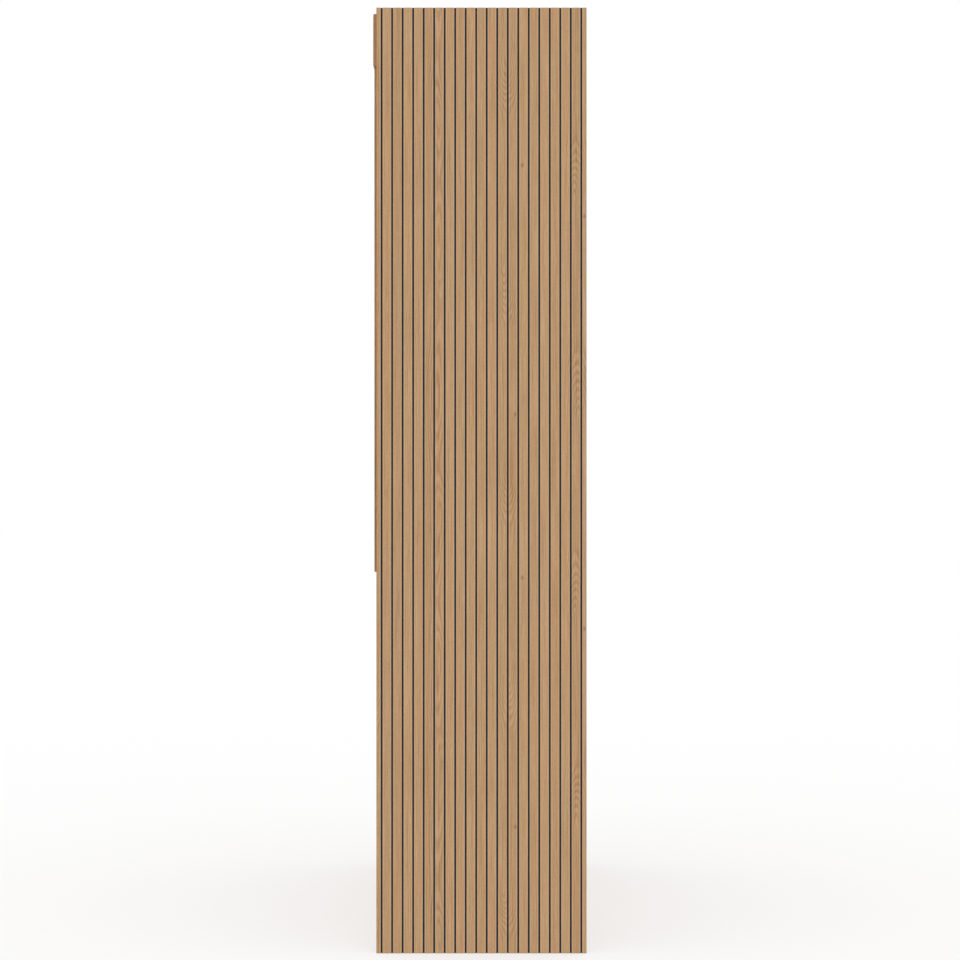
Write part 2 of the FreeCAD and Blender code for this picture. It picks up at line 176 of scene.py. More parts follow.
def glowing_paint(paleness, strength, share):
    """Part paint, which takes the shadow, and part light."""
    paint = add_node(tree, "BsdfDiffuse", {"Color": (paleness,) * 3 + (1,)}).outputs[0]
    glow = add_node(tree, "Emission", {"Color": (1, 1, 1, 1), "Strength": strength}).outputs[0]
    return add_node(tree, "MixShader", {0: share, 1: paint, 2: glow}).outputs[0]


plain = glowing_paint(FLOOR_PALENESS, BOUNCE_STRENGTH, BOUNCE_GLOW)
bright = glowing_paint(FLOOR_WHITE, 1.0, FLOOR_GLOW)
floor_shader = add_node(tree, "MixShader", {0: seen_ray(tree), 1: plain, 2: bright}).outputs[0]
output = tree.nodes.new("ShaderNodeOutputMaterial")
tree.links.new(floor_shader, output.inputs["Surface"])
floor.data.materials.append(floor_finish)
print("floor", FLOOR_SIZE, "m wide")

# %% [markdown]
# ## Light
# An even dome of light, a little stronger from above and from the right, shows every groove
# without hard shadows. No lamp is needed: the world itself glows, and its strength follows how
# far each direction leans towards the key side. What is looked at is plain white instead.

# %% Hang the dome of light
KEY_FROM = Vector((0.50, -0.18, 0.84)).normalized()
DOME_LEVEL = 0.928
DOME_LEAN = 0.30

world = bpy.data.worlds.new("studio_dome")
bpy.context.scene.world = world
world.use_nodes = True
tree = world.node_tree
tree.nodes.clear()
direction = tree.nodes.new("ShaderNodeTexCoord").outputs["Generated"]
lean = add_node(tree, "VectorMath", {0: direction, 1: tuple(KEY_FROM)},
                operation="DOT_PRODUCT").outputs["Value"]
strength = calc(tree, "MULTIPLY_ADD", lean, DOME_LEAN, DOME_LEVEL)
dome = add_node(tree, "Background", {"Color": (1, 1, 1, 1), "Strength": strength}).outputs[0]
backdrop = add_node(tree, "Background", {"Color": (1, 1, 1, 1), "Strength": 1.0}).outputs[0]
sky = add_node(tree, "MixShader", {0: seen_ray(tree), 1: dome, 2: backdrop}).outputs[0]
output = tree.nodes.new("ShaderNodeOutputWorld")
tree.links.new(sky, output.inputs["Surface"])
print("dome leans towards", [round(v, 2) for v in KEY_FROM])

# %% [markdown]
# ## Oak
# Oak shows four things. A board drifts slowly in tone, its fibres draw fine streaks along it,
# its pores are short dark dashes, and where the saw ran flat to the growth rings they show as
# figures. Noise that is stretched along the grain gives the first three, at several scales.

# %% Oak colours and the scales of its grain
OAK_DARK = (0.320, 0.184, 0.0855, 1)
OAK = (0.453, 0.283, 0.146, 1)
OAK_LIGHT = (0.576, 0.381, 0.217, 1)
OAK_REDDISH = (1.045, 0.965, 0.905, 1)
KNOT = (0.300, 0.120, 0.055, 1)

# Each scale: grains to the metre across and along the board, detail, roughness. The first five
# are grain, the next tints it, and the last two bend the growth rings.
DRIFT = (24.0, 1.7, 2.0, 0.5)
BANDS = (150.0, 4.0, 2.0, 0.5)
STREAKS = (480.0, 7.0, 3.0, 0.65)
FIBRES = (1300.0, 45.0, 2.0, 0.5)
PORES = (2300.0, 190.0, 1.0, 0.5)
TINTS = (110.0, 2.6, 3.0, 0.75)
WANDER = (5.0, 4.0, 1.0, 0.5)
RIPPLES = (70.0, 22.0, 3.0, 0.6)


def squeeze(along, across_grain, along_grain):
    """Grains to the metre on X, Y and Z for a board whose grain runs along one of them."""
    return tuple(along_grain if axis == along else across_grain for axis in "XYZ")


def grain(tree, place, along, scale):
    """Noise of one of the scales above, on a board whose grain runs along an axis."""
    across_grain, along_grain, detail, roughness = scale
    per_metre = squeeze(along, across_grain, along_grain)
    return stretched_noise(tree, place, per_metre, detail, roughness)


print("oak grain in", len((DRIFT, BANDS, STREAKS, FIBRES, PORES)), "scales")

# %% [markdown]
# ## Growth rings
# Veneer is laid in leaves side by side, each turned end for end from the last. A leaf's rings
# are drawn as a timber grows: as shells round a heart that runs below the surface. Where the
# heart rises towards the face, the surface cuts the shells in nested arches. Where it swings up
# and down, as in every third leaf here, they close to a chain of long eyes. At the flanks they
# run straight.

# %% Where the heart of each leaf lies
LEAF_WIDTH = 0.131
NEST_SPACING = 0.3925         # from one nest of arches to the next
NEST_START = 0.05             # shifts the nests along the board
NEST_BEND = 0.10              # how far the nests stray from an even spacing
NEST_RISE = (0.28, 0.66)      # the heart rises between these shares of the spacing
NEST_DEPTHS = (0.023, 0.003)  # from this deep below the face to this
NEST_FADE_IN, NEST_FADE_OUT = (0.24, 0.36), (0.58, 0.72)     # shares of the spacing
NEST_PLAINNESS = 0.80
EYE_LENGTH = 0.262
EYE_BEND = 5.0                # how far the eyes stray from even lengths, in radians
EYE_DEPTH, EYE_SWING = 0.0105, 0.0042     # the heart's middle depth, and how far it swings
EYE_FADE = (0.40, 0.56)       # between these values of the wander they grow plainer
EYE_PLAINNESS = (0.35, 0.80)


def heart_of_leaf(tree, wander, parts, along, turned, is_eye):
    """How deep a leaf's heart lies below the face, and how plainly its rings show there."""
    run = calc(tree, "MULTIPLY_ADD", parts[along], turned,
               calc(tree, "MULTIPLY", wander, NEST_BEND))
    run = calc(tree, "DIVIDE", calc(tree, "ADD", run, NEST_START), NEST_SPACING)
    run = calc(tree, "FRACT", run)
    nest_depth = fade(tree, run, *NEST_RISE, *NEST_DEPTHS)
    nest_plain = calc(tree, "MULTIPLY", fade(tree, run, *NEST_FADE_IN),
                      fade(tree, run, *NEST_FADE_OUT, NEST_PLAINNESS, 0.0))

    swing = calc(tree, "MULTIPLY_ADD", parts[along], 2 * math.pi / EYE_LENGTH,
                 calc(tree, "MULTIPLY", wander, EYE_BEND))
    eye_depth = calc(tree, "MULTIPLY_ADD", calc(tree, "COSINE", swing), EYE_SWING, EYE_DEPTH)
    eye_plain = fade(tree, wander, *EYE_FADE, *EYE_PLAINNESS)

    depth = add_node(tree, "Mix", {0: is_eye, 2: nest_depth, 3: eye_depth}).outputs[0]
    plain = add_node(tree, "Mix", {0: is_eye, 2: nest_plain, 3: eye_plain}).outputs[0]
    return depth, plain


print("leaves", LEAF_WIDTH, "m wide")

# %% Draw the rings round it
BOARD = 0.018                                # the thickness that the rings are followed through
EYE_EVERY = 3                                # one leaf in so many has eyes
HEART_SWAY = 0.040                           # how far the heart strays from side to side
RING_RISE, RING_FALL = (0.0, 0.25), (0.30, 0.85)     # a dark line comes fast and goes slowly
RING_MIDDLE = 0.35                           # more than this darkens the wood, less lightens it
NEST_RING, EYE_RING = 0.0029, 0.0038        # width of a ring
NEST_RIPPLE, EYE_RIPPLE = 0.0028, 0.0022    # how far it wavers
FIGURE_HALF = (0.014, 0.028)                 # the figure fades out across these
FLANK_SHARE = 0.25
STRAIGHT_SHARE = 0.22                        # of the rings shows even outside a figure


def growth_rings(tree, place, parts, along, across, leaf_middle):
    """Growth rings: above 0 on a ring's dark line and below 0 between two lines."""
    from_middle = calc(tree, "SUBTRACT", parts[across], leaf_middle)
    leaf = calc(tree, "ROUND", calc(tree, "DIVIDE", from_middle, LEAF_WIDTH))
    turned = calc(tree, "COSINE", calc(tree, "MULTIPLY", leaf, math.pi))
    in_three = calc(tree, "FRACT", calc(tree, "MULTIPLY_ADD", leaf, 1 / EYE_EVERY, 0.5))
    is_eye = calc(tree, "LESS_THAN", in_three, 1 / EYE_EVERY)
    wander = grain(tree, place, along, WANDER)
    depth, plain = heart_of_leaf(tree, wander, parts, along, turned, is_eye)

    through = next(axis for axis in "XYZ" if axis not in (along, across))
    below_face = calc(tree, "SUBTRACT", BOARD, calc(tree, "PINGPONG", parts[through], BOARD))
    depth = calc(tree, "ADD", depth, below_face)
    sway = calc(tree, "MULTIPLY_ADD", wander, HEART_SWAY, -HEART_SWAY / 2)
    off = calc(tree, "ADD", calc(tree, "MULTIPLY_ADD", leaf, -LEAF_WIDTH, from_middle), sway)
    off = calc(tree, "ABSOLUTE", off)
    distance = calc(tree, "SQRT", calc(tree, "ADD", calc(tree, "POWER", off, 2.0),
                                       calc(tree, "POWER", depth, 2.0)))
    waver = calc(tree, "MULTIPLY_ADD", is_eye, EYE_RIPPLE - NEST_RIPPLE, NEST_RIPPLE)
    distance = calc(tree, "MULTIPLY_ADD", grain(tree, place, along, RIPPLES), waver, distance)
    width = calc(tree, "MULTIPLY_ADD", is_eye, EYE_RING - NEST_RING, NEST_RING)

    ring = calc(tree, "FRACT", calc(tree, "DIVIDE", distance, width))
    ring = calc(tree, "MULTIPLY", fade(tree, ring, *RING_RISE),
                fade(tree, ring, *RING_FALL, 1.0, 0.0))
    ring = calc(tree, "SUBTRACT", ring, RING_MIDDLE)
    plain = calc(tree, "MULTIPLY", plain, fade(tree, off, *FIGURE_HALF, 1.0, FLANK_SHARE))
    share = calc(tree, "MULTIPLY_ADD", plain, 1 - STRAIGHT_SHARE, STRAIGHT_SHARE)
    return calc(tree, "MULTIPLY", ring, share)


print("rings", NEST_RING, "to", EYE_RING, "m wide")

# %% [markdown]
# ## Knots
# A few pin knots give the veneer scale. Leaves cut from one log show the same knot again and
# again, so each is a soft brown spot that comes back at an even distance along the board.

# %% Place the knots
KNOT_REPEAT = 0.785
KNOT_SQUASH = 0.6         # a knot is a little longer along the board than across it
KNOT_CORE, KNOT_EDGE = 0.0004, 0.0044
KNOT_STRENGTH = 0.75


def knots(tree, parts, along, across, places):
    """Soft spots at (across, along) places that come again along the board."""
    again = calc(tree, "WRAP", parts[along], KNOT_REPEAT, 0.0)
    again = calc(tree, "MULTIPLY", again, KNOT_SQUASH)
    here = add_node(tree, "CombineXYZ", {0: parts[across], 1: again}).outputs[0]
    total = None
    for across_place, along_place in places:
        there = (across_place, along_place * KNOT_SQUASH, 0)
        distance = add_node(tree, "VectorMath", {0: here, 1: there},
                            operation="DISTANCE").outputs["Value"]
        spot = fade(tree, distance, KNOT_CORE, KNOT_EDGE, KNOT_STRENGTH, 0.0)
        total = spot if total is None else calc(tree, "ADD", total, spot)
    return total


print("knots come again every", KNOT_REPEAT, "m")

# %% [markdown]
# ## The oak recipe
# The recipe adds the scales of grain into one tone, from dark to light, and a ramp turns the
# tone into oak. On separate slats each slat takes its own tone and its own stretch of board, as
# if they were sawn from many lengths. A shade makes solid oak a little deeper than veneer; part
# of it is painted shade, for the doors' edges that sit in the shade beside the side panels. The
# header's is lighter: painted light, for a rail that stands further forward.

# %% Tell the slats apart
FLUTE_PITCH = 0.020
COUNTS_APART = 40.0       # keeps slats left of the middle from sharing a count with the right
LONGEST_SHIFT = 9.0       # metres between two slats' stretches of board, at most


def slat_tones(tree, parts, across, first, separate):
    """One random tone, 0 to 1, for each slat; separate slats are counted from the middle."""
    measured = calc(tree, "ABSOLUTE", parts[across]) if separate else parts[across]
    count = calc(tree, "DIVIDE", calc(tree, "SUBTRACT", measured, first), FLUTE_PITCH)
    count = calc(tree, "FLOOR", count)
    if separate:
        side = calc(tree, "SIGN", parts[across])
        count = calc(tree, "MULTIPLY_ADD", side, COUNTS_APART, count)
    return add_node(tree, "TexWhiteNoise", {"W": count}, noise_dimensions="1D").outputs[0]


def moved_along(tree, place, along, slat_tone):
    """A place that is shifted along the board by metres that differ from slat to slat."""
    shift = calc(tree, "MULTIPLY", slat_tone, LONGEST_SHIFT)
    steps = {axis: shift if axis == along else 0.0 for axis in "XYZ"}
    step = add_node(tree, "CombineXYZ", steps).outputs[0]
    return add_node(tree, "VectorMath", {0: place, 1: step}, operation="ADD").outputs[0]


print("a slat every", FLUTE_PITCH, "m")

# %% Weigh the scales of grain
MIDDLE_TONE = 0.535
DRIFT_WEIGHT, BAND_WEIGHT, STREAK_WEIGHT, FIBRE_WEIGHT = 0.10, 0.18, 1.60, 0.75
SLAT_WEIGHT, RING_WEIGHT, PORE_WEIGHT = 0.15, -0.46, -0.26
PORE_FADE = (0.59, 0.69)              # noise above these is a pore
TINT_FADE = (0.36, 0.62)
# a deeper tone for solid oak, partly painted shade
SOLID_OAK_TONE_AND_SHADE = (0.83, 0.80, 0.785, 1)
# lighter than the doors': painted light on the header, which stands further forward
HEADER_OAK_TONE_AND_LIGHT = (0.870, 0.880, 0.915, 1)
OAK_MATT = 0.6
STREAK_FADE = (0.2, 0.8)
STREAK_MATT = (0.66, 0.54)            # a dark streak is rougher than a light one
OAK_RELIEF = 0.00012
PORE_SINK = -0.8                      # a pore's depth, beside the height of the fibres
print("oak's middle tone:", MIDDLE_TONE)

# %% Mix the oak
def oak_finish(name, along, across, leaf_middle=0.0, slats_from=None, separate_slats=False,
               knot_places=(), shade=None):
    """Matt lacquered oak. Returns the material, its tree, shader, colour and parts of place."""
    finish, tree, shader, place = start_finish(name, OAK_MATT)
    axes = add_node(tree, "SeparateXYZ", {0: place}).outputs
    parts = {axis: axes[axis] for axis in "XYZ"}
    slat_tone = None
    if slats_from is not None:
        slat_tone = slat_tones(tree, parts, across, slats_from, separate_slats)
        if separate_slats:
            place = moved_along(tree, place, along, slat_tone)

    streaks = grain(tree, place, along, STREAKS)
    fibres = grain(tree, place, along, FIBRES)
    pores = fade(tree, grain(tree, place, along, PORES), *PORE_FADE)
    rings = growth_rings(tree, place, parts, along, across, leaf_middle)
    tone = MIDDLE_TONE
    for noise, weight in ((grain(tree, place, along, DRIFT), DRIFT_WEIGHT),
                          (grain(tree, place, along, BANDS), BAND_WEIGHT),
                          (streaks, STREAK_WEIGHT), (fibres, FIBRE_WEIGHT),
                          (slat_tone, SLAT_WEIGHT)):
        if noise is not None:
            tone = calc(tree, "ADD", tone,
                        calc(tree, "MULTIPLY_ADD", noise, weight, -weight / 2))
    tone = calc(tree, "MULTIPLY_ADD", rings, RING_WEIGHT, tone)
    tone = calc(tree, "MULTIPLY_ADD", pores, PORE_WEIGHT, tone)

    ramp = add_node(tree, "ValToRGB", {0: tone})
    ramp.color_ramp.elements[0].color = OAK_DARK
    ramp.color_ramp.elements[1].color = OAK_LIGHT
    ramp.color_ramp.elements.new(0.5).color = OAK
    warm = fade(tree, grain(tree, place, along, TINTS), *TINT_FADE)
    colour = blend_colours(tree, warm, ramp.outputs[0], OAK_REDDISH, "MULTIPLY")
    if knot_places:
        spots = knots(tree, parts, along, across, knot_places)
        colour = blend_colours(tree, spots, colour, KNOT)
    # solid oak's tint: a deeper tone with painted shade, and on the header painted light
    if shade:
        colour = blend_colours(tree, 1.0, colour, shade, "MULTIPLY")

    tree.links.new(colour, shader.inputs["Base Color"])
    matt = fade(tree, streaks, *STREAK_FADE, *STREAK_MATT)
    tree.links.new(matt, shader.inputs["Roughness"])
    height = calc(tree, "MULTIPLY_ADD", pores, PORE_SINK, fibres)
    relief(tree, shader, height, OAK_RELIEF)
    return finish, tree, shader, colour, parts


# %% [markdown]
# ## Flutes
# The flutes are cut after the board is veneered, so they expose its dark core. The finish knows
# where they are by measuring across the board: the nearest groove is never further than half
# the pitch, and only what lies below the face is dark. A pale line beside each groove is a
# painted highlight, for the light that the arrises catch.

# %% Paint the grooves
GROOVE_BLACK = (0.008, 0.029, 0.046, 1)
GROOVE_HALF = 0.00189
# a painted highlight: the pale band beside each groove
ARRIS_HIGHLIGHT = (0.60, 0.375, 0.20, 1)
ARRIS_HIGHLIGHT_FADE = (0.0024, 0.0052)     # from the groove's middle
ARRIS_HIGHLIGHT_STRENGTH = 0.45


def cut_flutes(tree, shader, colour, measure, first, near_face, below_face):
    """Paints the grooves dark and a painted highlight beside each, only where the cutter
    reached.
    """
    off = calc(tree, "WRAP", calc(tree, "SUBTRACT", measure, first),
               FLUTE_PITCH / 2, -FLUTE_PITCH / 2)
    off = calc(tree, "ABSOLUTE", off)
    # the pale band beside each groove is a painted highlight
    arris_highlight = calc(tree, "MULTIPLY", fade(tree, off, *ARRIS_HIGHLIGHT_FADE, ARRIS_HIGHLIGHT_STRENGTH, 0.0), near_face)
    colour = blend_colours(tree, arris_highlight, colour, ARRIS_HIGHLIGHT)
    groove = calc(tree, "MULTIPLY", calc(tree, "LESS_THAN", off, GROOVE_HALF), below_face)
    colour = blend_colours(tree, groove, colour, GROOVE_BLACK)
    tree.links.new(colour, shader.inputs["Base Color"])


print("grooves", 2 * GROOVE_HALF, "m wide")

# %% [markdown]
# ## Which board gets which oak
# The side panels and the drawer fronts are veneered and fluted. The side panels are also edged
# with a thin strip of oak that shows a shade browner all round, which is partly painted shade
# along the panels' edges. The doors and the header are solid oak, and the boards inside are
# plain veneered boards. Each finish is told along which axis its grain runs and where the
# middle of one leaf lies.

# %% Dress the side panels
SIDE_FLUTE = -0.1865      # the middle of the first groove
SIDE_LEAF = 0.0525
SIDE_KNOTS = ((0.081, 0.715), (0.068, 0.241), (0.199, 0.618))
FLUTE_DEPTH = 0.0032
FACE_SKIN = 0.00017       # what is nearer to the face than this isn't groove
# the browner band at the panel's ends is an oak edge strip with painted shade along it
EDGING_AND_SHADE_BAND = 0.0013
EDGING_AND_SHADE_STRENGTH = 0.75
OAK_EDGING_AND_SHADE = (0.375, 0.200, 0.085, 1)
side_low, side_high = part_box("right_side_panel")


def wear(finish, *node_names):
    """Puts a finish on nodes of the frame, in each of their material slots."""
    for node_name in node_names:
        for slot in frame["nodes"][node_name].material_slots:
            slot.material = finish


def edging_and_shade(tree, part, low, high):
    """0 on a board and EDGING_AND_SHADE_STRENGTH on the thin strips at its two ends along one
    axis: an edge strip with painted shade.
    """
    from_middle = calc(tree, "ABSOLUTE", calc(tree, "SUBTRACT", part, (low + high) / 2))
    half = (high - low) / 2
    return fade(tree, from_middle, half - EDGING_AND_SHADE_BAND, half - EDGING_AND_SHADE_BAND / 2, 0.0, EDGING_AND_SHADE_STRENGTH)


side_oak, tree, shader, colour, parts = oak_finish("Fluted oak, side", "Z", "Y", SIDE_LEAF,
                                                   SIDE_FLUTE, knot_places=SIDE_KNOTS)
# the panel's ends are painted browner: an edge strip with painted shade
edges = calc(tree, "MAXIMUM", edging_and_shade(tree, parts["Y"], side_low.y, side_high.y),
             edging_and_shade(tree, parts["Z"], side_low.z, side_high.z))
colour = blend_colours(tree, edges, colour, OAK_EDGING_AND_SHADE)
depth = calc(tree, "ABSOLUTE", parts["X"])
near_face = calc(tree, "GREATER_THAN", depth, side_high.x - FLUTE_DEPTH)
below_face = calc(tree, "LESS_THAN", depth, side_high.x - FACE_SKIN)
below_face = calc(tree, "MULTIPLY", near_face, below_face)
cut_flutes(tree, shader, colour, parts["Y"], SIDE_FLUTE, near_face, below_face)
wear(side_oak, "left_side_panel", "right_side_panel")
print(side_oak.name, "with", len(tree.nodes), "nodes")

# %% Dress the drawer fronts
FRONT_FLUTE = -0.410
FRONT_LEAF = 0.10
DRAWERS = ("bottom", "middle", "top")
front_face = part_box("top_drawer_front")[0].y

front_oak, tree, shader, colour, parts = oak_finish("Fluted oak, drawer front", "Z", "X",
                                                    FRONT_LEAF, FRONT_FLUTE)
near_face = calc(tree, "LESS_THAN", parts["Y"], front_face + FLUTE_DEPTH)
below_face = calc(tree, "GREATER_THAN", parts["Y"], front_face + FACE_SKIN)
below_face = calc(tree, "MULTIPLY", near_face, below_face)
cut_flutes(tree, shader, colour, parts["X"], FRONT_FLUTE, near_face, below_face)
wear(front_oak, *[name + "_drawer_front" for name in DRAWERS])
print(front_oak.name, "with", len(tree.nodes), "nodes")

# %% Dress the doors, the header and the inner boards
STILE_LEAF = 0.532
RAIL_LEAF = 1.700
HEADER_LEAF = 1.745
LYING_LEAF = -0.02
STANDING_LEAF = 0.03
FIRST_DOOR_SLAT = 0.0545

# The doors and slats are tinted with painted shade; the header is tinted lighter, with painted
# light.
upright_oak = oak_finish("Oak, upright", "Z", "X", STILE_LEAF, shade=SOLID_OAK_TONE_AND_SHADE)[0]
level_oak = oak_finish("Oak, level", "X", "Z", RAIL_LEAF, shade=SOLID_OAK_TONE_AND_SHADE)[0]
lit_header_oak = oak_finish("Oak, header", "X", "Z", HEADER_LEAF, shade=HEADER_OAK_TONE_AND_LIGHT)[0]
slat_oak = oak_finish("Oak slats", "Z", "X", 0.0, FIRST_DOOR_SLAT, separate_slats=True,
                      shade=SOLID_OAK_TONE_AND_SHADE)[0]
board_oak = oak_finish("Oak board, lying", "X", "Y", LYING_LEAF)[0]
standing_oak = oak_finish("Oak board, standing", "X", "Z", STANDING_LEAF)[0]
for side in ("left", "right"):
    wear(upright_oak, side + "_door_hinge_stile", side + "_door_meeting_stile")
    wear(level_oak, side + "_door_bottom_rail", side + "_door_top_rail")
    wear(slat_oak, side + "_door_louvres")
wear(lit_header_oak, "header_rail")
wear(board_oak, "top_panel", "divider_panel", "bottom_panel", "lower_shelf", "upper_shelf")
wear(standing_oak, "header_backer", "plinth_board", "rear_plinth_board")
print("oak finishes on", sum(1 for node in frame["nodes"].values()
                             if "oak" in getattr(node.active_material, "name", "").lower()))

# %% [markdown]
# ## Birch plywood
# The drawer boxes are birch plywood, which is plain on its faces and striped on its edges,
# where the saw cut through its crossed layers. The finish counts the layers from one face by
# how deep a place lies in the board, and darkens every other one.

# %% Dress the drawer boxes
BIRCH = (0.66, 0.51, 0.34, 1)
BIRCH_LIGHT = (0.74, 0.60, 0.43, 1)
BIRCH_END = (0.43, 0.29, 0.16, 1)
PLY_LAYERS = 10.6         # eleven, of which the outer two are sanded thin
PLY_OUTER = 0.2           # the share of a layer that is sanded off each
PLY_END_STRENGTH = 0.8
PLY_GRAIN = (260.0, 12.0)         # grains to the metre, across and along
PATCHY = (3.0, 0.6)               # detail and roughness of the noise
NOISE_FADE = (0.3, 0.7)           # most of the noise lies between these
PLY_MATT = (0.42, 0.58)
PLY_RELIEF = 0.0001
ply_low, ply_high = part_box("top_drawer_right_side")
PLY_LAYER = (ply_high.x - ply_low.x) / PLY_LAYERS


def birch_ply(name, along, through, face):
    """Birch plywood: plain on its faces, striped where its layers are cut across."""
    finish, tree, shader, place = start_finish(name, sum(PLY_MATT) / 2)
    axes = add_node(tree, "SeparateXYZ", {0: place}).outputs
    depth = calc(tree, "SUBTRACT", calc(tree, "ABSOLUTE", axes[through]), face)
    layer = calc(tree, "FLOOR", calc(tree, "MULTIPLY_ADD", depth, 1 / PLY_LAYER, PLY_OUTER))
    fibres = stretched_noise(tree, place, squeeze(along, *PLY_GRAIN), *PATCHY)
    colour = blend_colours(tree, fade(tree, fibres, *NOISE_FADE), BIRCH, BIRCH_LIGHT)
    cut_across = calc(tree, "MULTIPLY", calc(tree, "MODULO", layer, 2.0), PLY_END_STRENGTH)
    colour = blend_colours(tree, cut_across, colour, BIRCH_END)
    tree.links.new(colour, shader.inputs["Base Color"])
    matt = fade(tree, fibres, *NOISE_FADE, *PLY_MATT)
    tree.links.new(matt, shader.inputs["Roughness"])
    relief(tree, shader, fibres, PLY_RELIEF)
    return finish


side_ply = birch_ply("Birch plywood, sides", "Y", "X", ply_low.x)
back_ply = birch_ply("Birch plywood, back", "X", "Y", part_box("top_drawer_back")[0].y)
print("layers of", round(PLY_LAYER * 1000, 2), "mm")

# %% [markdown]
# ## Backing, metal and plastic
# Pieces of one plain stuff are still never one flat colour: coating, plating and moulding all
# leave a faint unevenness. One recipe serves them all, with two near colours, a scale and a
# roughness for each, and the record's slots say which piece is made of what.

# %% Mix two near colours
def mottled(name, colour, other, per_metre, roughness, specular=0.3, depth=0.0001,
            metallic=0.0, swing=0.15):
    """A finish that drifts between two colours over noise of one scale."""
    finish, tree, shader, place = start_finish(name, roughness, specular, metallic)
    patch = stretched_noise(tree, place, per_metre, *PATCHY)
    mixed = blend_colours(tree, fade(tree, patch, *NOISE_FADE), colour, other)
    tree.links.new(mixed, shader.inputs["Base Color"])
    matt = fade(tree, patch, *NOISE_FADE, roughness - swing / 2, roughness + swing / 2)
    tree.links.new(matt, shader.inputs["Roughness"])
    relief(tree, shader, patch, depth)
    return finish


# %% Dress the other pieces by their slots
black_board = mottled("Black backing", (0.022, 0.027, 0.033, 1), (0.030, 0.036, 0.043, 1),
                      (900, 900, 120), 0.75, 0.2)
back_board = mottled("Back board", (0.40, 0.26, 0.145, 1), (0.46, 0.30, 0.17, 1),
                     (260, 260, 8), 0.6)
birch = mottled("Birch", BIRCH, BIRCH_LIGHT, (12, 260, 260), 0.5)
zinc = mottled("Zinc plated steel", (0.41, 0.42, 0.44, 1), (0.52, 0.53, 0.545, 1),
               (140, 140, 140), 0.40, metallic=1.0, depth=0.00002)
nickel = mottled("Nickel plated steel", (0.58, 0.57, 0.55, 1), (0.66, 0.65, 0.63, 1),
                 (600, 600, 90), 0.25, metallic=1.0, depth=0.00001)
nylon = mottled("White nylon", (0.76, 0.75, 0.71, 1), (0.80, 0.79, 0.76, 1),
                (300, 300, 300), 0.42)
black_plastic = mottled("Black plastic", (0.016, 0.016, 0.018, 1), (0.024, 0.024, 0.026, 1),
                        (1500, 1500, 1500), 0.5)
rubber = mottled("Grey rubber", (0.20, 0.20, 0.20, 1), (0.28, 0.28, 0.275, 1),
                 (900, 900, 900), 0.85, 0.15)
SLOT_FINISHES = {"black_backing": black_board, "back_board": back_board,
                 "drawer_birch": birch, "zinc_steel": zinc, "bright_steel": nickel,
                 "white_nylon": nylon, "black_plastic": black_plastic, "grey_rubber": rubber}
for part in frame["record"]["subparts"]:
    finish = SLOT_FINISHES.get(part["material_slot"])
    if finish:
        wear(finish, part["node"])
for name in DRAWERS:
    wear(side_ply, name + "_drawer_left_side", name + "_drawer_right_side")
    wear(back_ply, name + "_drawer_back")
print("slot finishes:", ", ".join(sorted(SLOT_FINISHES)))

# %% [markdown]
# ## Modelling helpers
# The fittings are small metal and plastic pieces. Each starts as one primitive of the right
# size in the right place and is shaped in edit mode. Everything else is deselected first, and
# faces or edges are then picked by where they lie, as one would pick them by eye.

# %% Start a piece
def start_block(name, low, high):
    """A block between two corners, alone selected, open in edit mode with nothing picked."""
    bpy.ops.object.select_all(action="DESELECT")
    bpy.ops.mesh.primitive_cube_add(size=1, location=(Vector(low) + Vector(high)) / 2)
    piece = bpy.context.object
    piece.name = name
    piece.scale = Vector(high) - Vector(low)
    bpy.ops.object.transform_apply(location=True, rotation=True, scale=True)
    return open_for_edit(piece)


def start_disc(name, centre, radius, height, sides=24):
    """An upright round blank, its middle at the centre, open in edit mode."""
    bpy.ops.object.select_all(action="DESELECT")
    bpy.ops.mesh.primitive_cylinder_add(vertices=sides, radius=radius, depth=height,
                                        location=centre)
    piece = bpy.context.object
    piece.name = name
    bpy.ops.object.transform_apply(location=True, rotation=True, scale=True)
    return open_for_edit(piece)


def open_for_edit(piece):
    """Goes into edit mode with nothing selected."""
    bpy.ops.object.mode_set(mode="EDIT")
    bpy.ops.mesh.select_all(action="DESELECT")
    return piece


# %% Pick, ease and close it
ALONG = 0.9               # an edge runs along an axis if its direction has more than this of it
ACROSS = 0.1              # and square to the axis if it has less than this
FACING = 0.99             # a face looks along an axis if its normal has more than this of it
TOUCHING = 1e-5           # what is nearer than this is in the same place


def pick(piece, kind, wanted):
    """In edit mode, selects the faces or edges whose middle passes a test; returns how many."""
    bpy.ops.mesh.select_all(action="DESELECT")
    bpy.ops.mesh.select_mode(type="FACE" if kind == "faces" else "EDGE")
    bpy.ops.object.mode_set(mode="OBJECT")
    mesh = piece.data
    count = 0
    for element in getattr(mesh, "polygons" if kind == "faces" else "edges"):
        ends = [mesh.vertices[index].co for index in element.vertices]
        middle = sum(ends, Vector()) / len(ends)
        run = (ends[1] - ends[0]).normalized() if kind == "edges" else element.normal
        if wanted(middle, run):
            element.select = True
            count += 1
    bpy.ops.object.mode_set(mode="EDIT")
    return count


def bevel(width, segments=2):
    """Rounds what is picked."""
    bpy.ops.mesh.bevel(offset=width, segments=segments, profile=0.5, affect="EDGES")


def close_piece(piece, smooth_below=35.0):
    """Leaves edit mode, turns faces outward and shades soft below an angle."""
    bpy.ops.mesh.select_all(action="SELECT")
    bpy.ops.mesh.normals_make_consistent(inside=False)
    bpy.ops.object.mode_set(mode="OBJECT")
    bpy.ops.object.shade_smooth_by_angle(angle=math.radians(smooth_below))
    return piece


